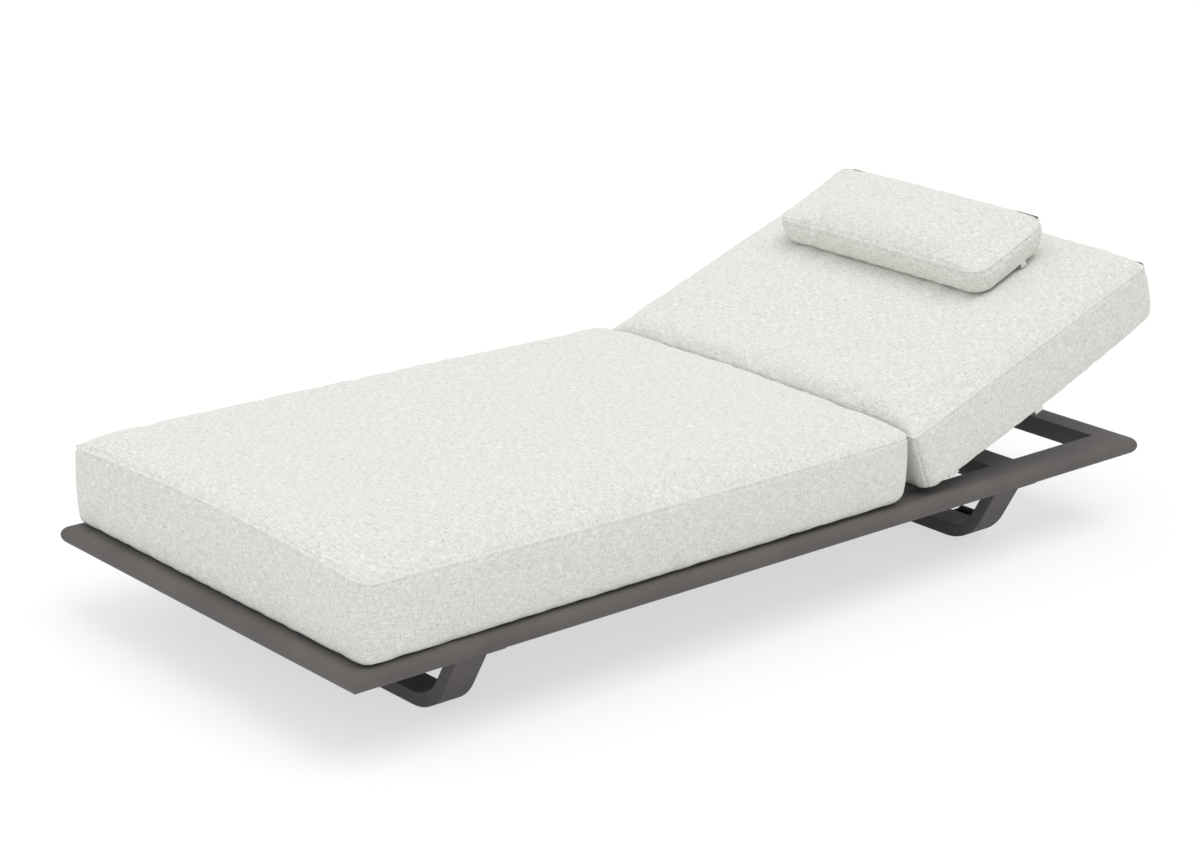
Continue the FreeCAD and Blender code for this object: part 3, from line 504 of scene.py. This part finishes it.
def seam_distance(form, along, across, up):
    """How far a point lies from the seam round the top: above zero over the crown, below it down the side."""
    top = border_height(form)
    from_end = np.minimum(along, form["length"] - along)
    from_side = np.minimum(across, form["width"] - across)
    return np.where(up >= top - TOUCH, np.minimum(from_end, from_side), up - top)


def edge_place(form, along, across):
    """A place's distance round the cushion, from the foot end's near corner along the near side, across the
    head end, back along the far side and across the foot end. On a panel it is the nearest edge's."""
    length, width = form["length"], form["width"]
    distances = np.stack([across, length - along, width - across, along])
    places = np.stack([along, length + across, 2 * length + width - along, 2 * length + 2 * width - across])
    nearest = distances.argmin(axis=0)[None]
    return np.take_along_axis(places, nearest, axis=0)[0]


def corner_place(form, name):
    """A corner's distance round the cushion."""
    length, width = form["length"], form["width"]
    places = {"near_foot": 0.0, "near_head": length, "far_head": length + width,
              "far_foot": 2 * length + width}
    return places[name]


def cushion_piece(name, form, place, start, material):
    """One cushion's cover as a closed grid: a top panel, an underside and a border, with a map in metres
    that starts afresh on each panel, as each is cut from the cloth by itself."""
    lines = (lines_across(form["length"], form["step"]), lines_across(form["width"], form["step"]),
             lines_up(form["seam"], form["foot_radius"], form["step"]))
    ids, cells = box_grid([len(line) for line in lines])
    along, across, up = (line[cells[:, axis]] for axis, line in enumerate(lines))
    points = cushion_points(form, along, across, up)

    length, width = form["length"], form["width"]
    top_map, under_map = np.stack([across, along], -1), np.stack([across + UNDER_MAP, along], -1)
    panels = [(ids[:, :, -1], False, top_map), (ids[:, :, 0], True, under_map)]
    borders = ((ids[:, 0, :], False, along), (ids[-1, :, :], False, length + across),
               (ids[:, -1, :], True, 2 * length + width - along), (ids[0, :, :], True, -across))
    panels += [(grid, flip, np.stack([around + BORDER_MAP, up], -1)) for grid, flip, around in borders]
    faces = [quads_of(grid, flip) for grid, flip, _ in panels]
    maps = [panel_map[quads] for quads, (_, _, panel_map) in zip(faces, panels)]

    piece = make_piece(name, to_row(points + start, place), np.concatenate(faces), material)
    threads = piece.data.uv_layers.new(name="threads")
    threads.data.foreach_set("uv", np.concatenate(maps).astype(np.float32).ravel())
    for attribute, values in (("along", along), ("across", across), ("up", up)):
        set_attribute(piece.data, attribute, values)
    return piece, ids


# cover simulation

# The cover's cloth, as Blender's cloth solver takes it, and how strongly the foam holds each point.
SIM_FRAMES = 20
CLOTH_QUALITY = 6
CLOTH_MASS = 0.35
CLOTH_STIFFNESS, CLOTH_SHEAR, CLOTH_BENDING = 18, 8, 0.4
INNER_PRESSURE = 0.8
FOAM_HOLD = 0.18


def simulate(piece, form):
    """Let the cover settle: cloth under inner pressure, cut larger than its foam by the ease, with the seams
    shorter by a third of it. The foam pulls each point back, and the underside stays where it rests. No
    point ends further from its start than the cap."""
    mesh = piece.data
    rest = read_points(mesh)
    along, across, up = (read_attribute(mesh, name) for name in ("along", "across", "up"))
    near_seam = np.abs(seam_distance(form, along, across, up)) < NEAR_SEAM[2]
    hold, sewn = piece.vertex_groups.new(name="hold"), piece.vertex_groups.new(name="sewn")
    hold.add(np.flatnonzero(up > 0).tolist(), FOAM_HOLD, "REPLACE")
    hold.add(np.flatnonzero(up <= 0).tolist(), 1.0, "REPLACE")
    sewn.add(np.flatnonzero(near_seam).tolist(), 1.0, "REPLACE")

    cover = piece.modifiers.new("cover", "CLOTH")
    cloth = cover.settings
    cloth.quality = CLOTH_QUALITY
    cloth.mass = CLOTH_MASS
    cloth.tension_stiffness = cloth.compression_stiffness = CLOTH_STIFFNESS
    cloth.shear_stiffness = CLOTH_SHEAR
    cloth.bending_stiffness = CLOTH_BENDING
    cloth.use_pressure = True
    cloth.uniform_pressure_force = INNER_PRESSURE
    cloth.vertex_group_mass = "hold"
    cloth.pin_stiffness = 1.0
    cloth.vertex_group_shrink = "sewn"
    cloth.shrink_min, cloth.shrink_max = -form["ease"], form["ease"] / 3
    cloth.effector_weights.gravity = 0
    cover.collision_settings.use_collision = False
    cover.point_cache.frame_start, cover.point_cache.frame_end = 1, SIM_FRAMES
    scene = bpy.context.scene
    for step in range(1, SIM_FRAMES + 1):
        scene.frame_set(step)
    settled = piece.evaluated_get(bpy.context.evaluated_depsgraph_get()).to_mesh()
    moved = read_points(settled) - rest
    piece.modifiers.remove(cover)
    scene.frame_set(1)
    far = np.linalg.norm(moved, axis=1, keepdims=True)
    moved *= np.minimum(1.0, form["cap"] / np.maximum(far, TINY))
    set_points(mesh, rest + moved)


def subdivide(piece):
    """One level of subdivision, applied."""
    rounder = piece.modifiers.new("rounder", "SUBSURF")
    rounder.levels = rounder.render_levels = 1
    rounder.uv_smooth = "NONE"
    finer = bpy.data.meshes.new_from_object(piece.evaluated_get(bpy.context.evaluated_depsgraph_get()))
    piece.modifiers.remove(rounder)
    finer.name = piece.name
    piece.data = finer


# What the seams do to a cover: each a height, a distance from the seam and a width. The top seam's distances
# are above zero over the crown and below it down the side.
LIP_WIDTH = 0.0011
BORDER_VALLEY = (-0.0014, -0.0032, 0.0018)
CROWN_VALLEY = (-0.0007, 0.0036, 0.0022)
SHOULDER = (0.0007, 0.010, 0.005)
LOWER_SEAM = (-0.0010, 0.0, 0.003)
UPRIGHT_SEAM = (-0.0020, 0.0, 0.0017)
UPRIGHT_SHOULDER = (0.0006, 0.006, 0.004)
CORNER_EAR = (0.0030, 0.0, 0.005)
# Short puckers and longer drags run off the top seam: their height, their wave and how far they reach.
PUCKER_HEIGHT, PUCKER_WAVE, PUCKER_REACH = 0.0004, 0.026, 0.012
DRAG_HEIGHT, DRAG_WAVE, DRAG_REACH = 0.0004, 0.090, 0.050
SOFT_WAVE = 0.26
# The heights up the side over which folds, and an upright seam, come in.
FOLD_RISE, UPRIGHT_RISE = 0.03, 0.02


def sew(piece, form, seed):
    """Work the seams and the cover's slackness into the mesh, along its normals. The seam round the top
    stands up as a narrow lip with a valley each side. The seam round the underside and the upright ones at
    the listed corners are pulled in. Puckers run square to the top seam and fade away from it, and broad
    soft waves lie over the rest."""
    mesh = piece.data
    points, normals = read_points(mesh), read_normals(mesh)
    along, across, up = (read_attribute(mesh, name) for name in ("along", "across", "up"))
    away = seam_distance(form, along, across, up)
    around, ring = edge_place(form, along, across), 2 * (form["length"] + form["width"])
    on_border = away < 0

    low_edge = np.where(on_border, up, np.inf)
    height = form["lip"] * bell(away, LIP_WIDTH) + ridge(away, BORDER_VALLEY) + ridge(away, CROWN_VALLEY)
    height += ridge(np.abs(away), SHOULDER) + ridge(low_edge, LOWER_SEAM)
    for corner in form["corner_seams"]:
        beside = np.abs((around - corner_place(form, corner) + ring / 2) % ring - ring / 2)
        upright = ridge(beside, UPRIGHT_SEAM) + ridge(beside, UPRIGHT_SHOULDER)
        height += upright * on_border * np.clip(up / UPRIGHT_RISE, 0, 1)
        height += ridge(np.hypot(beside, away), CORNER_EAR)

    pucker = ring_ripples(around, ring, PUCKER_WAVE, seed) * PUCKER_HEIGHT
    drag = ring_ripples(around, ring, DRAG_WAVE, seed + 1) * DRAG_HEIGHT
    folds = pucker * np.exp(-np.abs(away) / PUCKER_REACH) + drag * np.exp(-np.abs(away) / DRAG_REACH)
    waves = ripples(points, SOFT_WAVE, seed + 2) * form["softness"]
    height += (folds + waves) * np.clip(up / FOLD_RISE, 0, 1)
    set_points(mesh, points + normals * height[:, None])


# cushions

def cushion(name, form, place, start, body, seed):
    """A cushion's cover in place of its CAD node: settled, then rounded and sewn. It returns the grid's
    point numbers too, which subdivision keeps."""
    piece, ids = cushion_piece(name + "_cover", form, place, start, fabric)
    simulate(piece, form)
    subdivide(piece)
    sew(piece, form, seed)
    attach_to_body(piece, body)
    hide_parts(name)
    return piece, ids


def form_of(low, high, wider=0.0, **shape):
    """A cushion's form: its length and width from its CAD node, made wider as asked, and its shape."""
    return {"length": high[0] - low[0], "width": high[1] - low[1] + wider, **shape}


# A form's shape, in metres and in this order: the seam's height, its fall towards the head end and its bows
# between the corners. The crown's height over the seam, its fall, the runs over which it rises from the ends
# and from the sides, and how steeply. The lower edge's radius, its growth towards both ends and towards the
# head end, the head end's lean and the sides' bulge. The corners' radius and how much rounder they are
# below, how far ends and sides draw in, and the grid's step. The corners with an upright seam, the cover's
# ease, the most it may move, the soft waves' height, the seam's lip, and how full of foam the cover is.
seat_low, seat_high = extent("seat_cushion", LEVEL)
seat_form = form_of(seat_low, seat_high,
                    seam=0.152, seam_fall=0.013, bow_along=-0.009, bow_across=0.016,
                    crown=0.050, crown_fall=0.014, run_along=0.10, run_across=0.175, steep=2.8,
                    foot_radius=0.025, foot_more=0.0, foot_lean=0.25, lean=0.005, bulge=0.002,
                    corner=0.024, corner_more=0.002, draw_end=0.001, draw_side=0.003, step=0.0135,
                    corner_seams=(), ease=0.007, cap=0.024, softness=0.0004, lip=0.0016, fill=0.85)
seat_start = np.array([seat_low[0], 0.0, seat_low[2]])
seat, seat_ids = cushion("seat_cushion", seat_form, LEVEL, seat_start, "base", seed=11)

# The back cushion and the pillow lie a little off the lounger's middle, across it.
BACK_SHIFT, PILLOW_SHIFT = -0.004, 0.006

back_low, back_high = extent("back_cushion", TILTED)
back_form = form_of(back_low, back_high, wider=-0.006,
                    seam=0.137, seam_fall=0.014, bow_along=-0.002, bow_across=0.011,
                    crown=0.042, crown_fall=0.0, run_along=0.06, run_across=0.165, steep=2.6,
                    foot_radius=0.008, foot_more=2.1, foot_lean=0.0, lean=-0.003, bulge=0.001,
                    corner=0.012, corner_more=0.020, draw_end=0.004, draw_side=0.001, step=0.0135,
                    corner_seams=("near_foot", "far_foot"), ease=0.007, cap=0.024, softness=0.00035,
                    lip=0.0016, fill=0.85)
back_start = np.array([back_low[0], BACK_SHIFT, back_low[2]])
back, back_ids = cushion("back_cushion", back_form, TILTED, back_start, "back_pad", seed=23)

pillow_low, pillow_high = extent("head_pillow", TILTED)
pillow_form = form_of(pillow_low, pillow_high, wider=0.020,
                      seam=0.055, seam_fall=-0.008, bow_along=-0.004, bow_across=0.0,
                      crown=0.034, crown_fall=0.0, run_along=0.065, run_across=0.26, steep=2.5,
                      foot_radius=0.022, foot_more=0.0, foot_lean=0.4, lean=0.006, bulge=0.003,
                      corner=0.037, corner_more=0.006, draw_end=0.002, draw_side=0.002, step=0.0090,
                      corner_seams=(), ease=0.008, cap=0.022, softness=0.0004, lip=0.0019, fill=0.7)
pillow_start = np.array([pillow_low[0], PILLOW_SHIFT, pillow_low[2]])
pillow, pillow_ids = cushion("head_pillow", pillow_form, TILTED, pillow_start, "pillow", seed=37)

# trims

def sweep(name, path, outward, profile, material, height=None):
    """Carry a closed outline along a path. At each point of the path the outline's first coordinate runs
    sideways, square to the path and to the way outward, and its second runs outward, times the height given
    for that point. The two ends are closed."""
    ahead = unit(np.gradient(path, axis=0))
    sideways = unit(np.cross(ahead, outward))
    outward = unit(np.cross(sideways, ahead))
    height = np.ones(len(path)) if height is None else height
    offsets = sideways[:, None] * profile[None, :, :1]
    offsets = offsets + outward[:, None] * profile[None, :, 1:] * height[:, None, None]
    points = path[:, None] + offsets
    rows, count = len(path), len(profile)
    ids = np.arange(rows * count).reshape(rows, count)
    ring = np.concatenate([ids, ids[:, :1]], axis=1)
    faces = quads_of(ring).tolist() + [ids[0].tolist(), ids[-1, ::-1].tolist()]
    piece = make_piece(name, points.reshape(-1, 3), faces, material)

    travel = np.concatenate([[0], np.cumsum(np.linalg.norm(np.diff(path, axis=0), axis=1))])
    edges = np.linalg.norm(profile - np.roll(profile, -1, axis=0), axis=1)
    girth = np.concatenate([[0], np.cumsum(edges)])
    grid = np.stack(np.broadcast_arrays(girth[None, :], travel[:, None]), axis=-1)
    corners = quads_of(np.arange(rows * (count + 1)).reshape(rows, count + 1))
    ends = np.concatenate([grid[0, :-1], grid[-1, -2::-1]])
    threads = piece.data.uv_layers.new(name="threads")
    maps = np.concatenate([grid.reshape(-1, 2)[corners].reshape(-1, 2), ends])
    threads.data.foreach_set("uv", maps.astype(np.float32).ravel())
    return piece


def oval(half_width, half_height, count=12, squareness=2.0):
    """A closed outline between an ellipse and a box: powers of cosine and sine round the turn."""
    turn = 2 * math.pi * np.arange(count) / count
    x, y = np.cos(turn), np.sin(turn)
    power = 2 / squareness
    return np.stack([half_width * np.sign(x) * np.abs(x) ** power,
                     half_height * np.sign(y) * np.abs(y) ** power], axis=-1)


def resampled(points, step):
    """A line's points at even steps along it."""
    travel = np.concatenate([[0], np.cumsum(np.linalg.norm(np.diff(points, axis=0), axis=1))])
    places = np.linspace(0, travel[-1], max(2, round(travel[-1] / step)))
    return np.stack([np.interp(places, travel, points[:, axis]) for axis in range(3)], axis=-1)


def attach(piece, body):
    """Fix a trim to its body."""
    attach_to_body(piece, body)
    return piece


# A zip's teeth are this far apart, and its path has this many steps for each.
ZIP_TOOTH, TOOTH_STEPS = 0.0026, 4
# Half the width and half the height of a zip's tape, coil and slider.
TAPE_HALF, COIL_HALF, SLIDER_HALF = (0.0030, 0.0009), (0.0011, 0.0008), (0.0018, 0.0011)
# How far the tape lies under the seam, and the share by which the coil dips between teeth. How far the
# slider rises over the seam, half its length, and how many teeth it stands from the zip's end.
TAPE_SINK, TOOTH_DIP = 0.0008, 0.3
SLIDER_RISE, SLIDER_HALF_LENGTH, SLIDER_TEETH = 0.0008, 0.004, 3
# The slider's rows lie at these shares of its half length, and its outline is this near to a box.
SLIDER_ROWS = np.linspace(-0.96, 0.96, 7)
SLIDER_SQUARENESS = 4.0


def zip_along(name, piece, line, body):
    """A zip let into a seam: its coil lies along the line as a narrow ridge whose height dips between the
    teeth, over a tape sunk into the cloth. The slider is a small block near one end, whose height falls to
    both ends as the root of one minus the fourth power of the share of its half length."""
    points, normals = read_points(piece.data)[line], read_normals(piece.data)[line]
    path = resampled(points, ZIP_TOOTH / TOOTH_STEPS)
    places, given = np.linspace(0, 1, len(path)), np.linspace(0, 1, len(normals))
    outward = unit(np.stack([np.interp(places, given, normals[:, axis]) for axis in range(3)], axis=-1))

    tape_outward = outward[::TOOTH_STEPS]
    tape_path = path[::TOOTH_STEPS] - TAPE_SINK * tape_outward
    tape = sweep(name + "_tape", tape_path, tape_outward, oval(*TAPE_HALF, 10), zip_tape)

    teeth = np.abs(np.sin(math.pi * np.arange(len(path)) / TOOTH_STEPS))
    coil = sweep(name + "_coil", path, outward, oval(*COIL_HALF), zip_tape, 1 - TOOTH_DIP + TOOTH_DIP * teeth)

    stop = SLIDER_TEETH * TOOTH_STEPS
    ahead = unit(path[stop + 1] - path[stop])
    block = path[stop] + ahead * SLIDER_HALF_LENGTH * SLIDER_ROWS[:, None] + outward[stop] * SLIDER_RISE
    block_outward = np.repeat(outward[stop:stop + 1], len(SLIDER_ROWS), axis=0)
    block_outline = oval(*SLIDER_HALF, 16, SLIDER_SQUARENESS)
    slider = sweep(name + "_slider", block, block_outward, block_outline, zip_tape,
                   np.sqrt(1 - SLIDER_ROWS ** 4))
    return [attach(part, body) for part in (tape, coil, slider)]


# A tab's ends reach this far up into the cushion. Half the gap between its two layers is the radius of its
# turn. Then half the cloth's thickness, how near its section is to a box, the points of each layer and the
# steps of the turn.
TAB_BURIED, TAB_HALF_GAP, TAB_HALF_THICKNESS, TAB_SQUARENESS = 0.018, 0.0009, 0.0008, 8.0
TAB_LAYER_POINTS, TAB_TURN_STEPS = 6, 8


def tab(name, place, root, side, width, drop, body):
    """A loop of cover cloth sewn into a lower edge, pressed flat: a strip that comes down out of the cushion,
    turns back on itself round a half circle and goes up again. Side is the way its flat faces look, and drop
    is how far it reaches below its root."""
    turn = math.pi * np.arange(1, TAB_TURN_STEPS) / TAB_TURN_STEPS
    layer = np.ones(TAB_LAYER_POINTS)
    down = np.linspace(TAB_BURIED, TAB_HALF_GAP - drop, TAB_LAYER_POINTS)
    lowest = TAB_HALF_GAP - drop - TAB_HALF_GAP * np.sin(turn)
    off = np.concatenate([down, lowest, down[::-1]])
    across = np.concatenate([layer, np.cos(turn), -layer])
    below = np.concatenate([0 * layer, -np.sin(turn), 0 * layer])
    middle = np.stack([np.zeros_like(off), side * TAB_HALF_GAP * across, off], axis=-1)
    outward = np.stack([np.zeros_like(off), side * across, below], axis=-1)
    path = to_row(root + middle, place)
    outward = to_row(root + middle + outward, place) - path
    outline = oval(width / 2, TAB_HALF_THICKNESS, 20, TAB_SQUARENESS)
    attach(sweep(name, path, outward, outline, fabric), body)


# Each zip lies in its cushion's top seam, between two grid lines: across the head end on the back cushion
# and the pillow, and along the far side on the seat.
zip_along("back_zip", back, back_ids[-1, 2:-6, -1], "back_pad")
zip_along("pillow_zip", pillow, pillow_ids[-1, 3:-6, -1], "pillow")
seat_zip = zip_along("seat_zip", seat, seat_ids[6:-6, -1, -1], "base")

# Each tab of the back cushion: its place along the lower edge, its width, and how far it reaches below the
# cushion's underside. The first sits where the lower edge rounds up towards the seat.
BACK_TABS = ((0.018, 0.028, -0.0025), (0.274, 0.022, 0.0065))
BACK_TAB_INSET = 0.006
for side_name, side in (("near", -1), ("far", 1)):
    for number, (tab_along, tab_width, tab_drop) in enumerate(BACK_TABS):
        edge = side * (back_form["width"] / 2 - BACK_TAB_INSET) + BACK_SHIFT
        root = np.array([tab_along, edge, back_low[2]])
        tab(f"{side_name}_tab_{number + 1}", TILTED, root, side, tab_width, tab_drop, "back_pad")

# The pillow's tab: its place along the lower edge, its inset from the side and the underside, its width and
# how far it reaches below its root.
PILLOW_TAB_ALONG, PILLOW_TAB_INSET, PILLOW_TAB_WIDTH, PILLOW_TAB_DROP = 0.135, 0.008, 0.014, 0.007
pillow_root = pillow_start + np.array([PILLOW_TAB_ALONG, PILLOW_TAB_INSET - pillow_form["width"] / 2,
                                       PILLOW_TAB_INSET])
tab("pillow_tab", TILTED, pillow_root, -1, PILLOW_TAB_WIDTH, PILLOW_TAB_DROP, "pillow")

# The back cushion presses into the seat's head end as the backrest rises. The seat and its zip each get
#  a mesh of their own.
for piece in [seat] + seat_zip:
    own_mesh(piece)

# stage

FLOOR_HALF = 30.0
# The floor's grey, and what the camera sees of it: a dimmer grey plus a glow that lifts it to white.
FLOOR_GREY, SEEN_GREY, SEEN_GLOW = 0.92, 0.385, 0.62
# The sky's strength is the sum of two parts: one runs from the foot end to the head end, and one from the
# near side to the far side.
SKY_FOOT, SKY_HEAD = 0.47, 0.29
SKY_NEAR, SKY_FAR = 0.17, 0.61
LAMP_STRENGTH, LAMP_SPREAD, LAMP_TURN = 1.15, 48, (18, 5, 0)


def backdrop_rays(tree):
    """One for the rays that show the backdrop, which are the camera's, gloss's and glass's, and else zero."""
    rays = node(tree, "ShaderNodeLightPath")
    return math_node(tree, "MAXIMUM", rays.outputs["Is Camera Ray"],
                     math_node(tree, "MAXIMUM", rays.outputs["Is Glossy Ray"],
                               rays.outputs["Is Transmission Ray"]))


def choose(tree, other_rays, seen, output_kind):
    """Show one shader to the rays that show the backdrop and another to the rest."""
    choice = node(tree, "ShaderNodeMixShader")
    wire(tree, backdrop_rays(tree), choice.inputs["Fac"])
    wire(tree, other_rays.outputs[0], choice.inputs[1])
    wire(tree, seen.outputs[0], choice.inputs[2])
    output = node(tree, output_kind)
    wire(tree, choice.outputs[0], output.inputs["Surface"])


def grey(tree, value):
    """A matt surface of one grey."""
    shader = node(tree, "ShaderNodeBsdfDiffuse")
    shader.inputs["Color"].default_value = (value, value, value, 1.0)
    return shader


def floor_material():
    """What shows of the floor is part glow and part lit grey, so that it is white where nothing shades it
    and keeps the shadow. Other rays meet the plain grey."""
    material = bpy.data.materials.new("pale_floor")
    material.use_nodes = True
    tree = material.node_tree
    tree.nodes.clear()
    glow = node(tree, "ShaderNodeEmission")
    glow.inputs["Strength"].default_value = SEEN_GLOW
    both = node(tree, "ShaderNodeAddShader")
    wire(tree, grey(tree, SEEN_GREY).outputs[0], both.inputs[0])
    wire(tree, glow.outputs[0], both.inputs[1])
    choose(tree, grey(tree, FLOOR_GREY), both, "ShaderNodeOutputMaterial")
    return material


def make_floor():
    edge = np.array([-FLOOR_HALF, FLOOR_HALF])
    x, y = np.meshgrid(edge, edge, indexing="ij")
    points = np.stack([x, y, np.zeros_like(x)], axis=-1).reshape(-1, 3)
    floor = make_piece("floor", points, quads_of(np.arange(4).reshape(2, 2)), floor_material())


def make_world():
    """A studio that shows white and lights softly: more strongly from the foot end and from the far side."""
    world = bpy.data.worlds.new("studio")
    bpy.context.scene.world = world
    world.use_nodes = True
    tree = world.node_tree
    tree.nodes.clear()
    white, soft = node(tree, "ShaderNodeBackground"), node(tree, "ShaderNodeBackground")
    white.inputs["Strength"].default_value = 1.0
    way = node(tree, "ShaderNodeSeparateXYZ")
    wire(tree, node(tree, "ShaderNodeTexCoord").outputs["Generated"], way.inputs["Vector"])
    lengthwise = remap(tree, way.outputs["X"], -1.0, 1.0, SKY_FOOT, SKY_HEAD)
    crosswise = remap(tree, way.outputs["Y"], -1.0, 1.0, SKY_NEAR, SKY_FAR)
    wire(tree, math_node(tree, "ADD", lengthwise, crosswise), soft.inputs["Strength"])
    for light in (white, soft):
        light.inputs["Color"].default_value = (1.0, 1.0, 1.0, 1.0)
    choose(tree, soft, white, "ShaderNodeOutputWorld")


def make_lamp():
    """One broad light from overhead, a little to the near side and the head end."""
    lamp = bpy.data.lights.new("overhead", "SUN")
    lamp.energy = LAMP_STRENGTH
    lamp.angle = math.radians(LAMP_SPREAD)
    thing = bpy.data.objects.new("overhead", lamp)
    thing.rotation_euler = [math.radians(angle) for angle in LAMP_TURN]
    bpy.context.scene.collection.objects.link(thing)


# The camera, as fitted to the photograph's edges: its place, its turn from +Y towards +X, how far it looks
# down, its focal length in pixels of the picture and the picture's principal point.
PICTURE = (1200, 862)
CAMERA_PLACE = (-3.737258, -4.400015, 2.209112)
CAMERA_TURN, CAMERA_DOWN = 39.722, 18.485
FOCAL_PIXELS = 3050.175
PRINCIPAL_POINT = (597.93, 431.80)
SENSOR = 36.0
VIEW_RANGE = (0.1, 200.0)


def make_camera():
    camera = bpy.data.cameras.new("camera")
    camera.sensor_width = SENSOR
    camera.lens = FOCAL_PIXELS * SENSOR / PICTURE[0]
    camera.shift_x = (PICTURE[0] / 2 - PRINCIPAL_POINT[0]) / PICTURE[0]
    camera.shift_y = (PRINCIPAL_POINT[1] - PICTURE[1] / 2) / PICTURE[0]
    camera.clip_start, camera.clip_end = VIEW_RANGE
    thing = bpy.data.objects.new("camera", camera)
    thing.location = CAMERA_PLACE
    thing.rotation_euler = (math.radians(90 - CAMERA_DOWN), 0.0, math.radians(-CAMERA_TURN))
    bpy.context.scene.collection.objects.link(thing)
    bpy.context.scene.camera = thing


make_floor()
make_world()
make_lamp()
make_camera()
bpy.context.scene.view_settings.view_transform = "Standard"
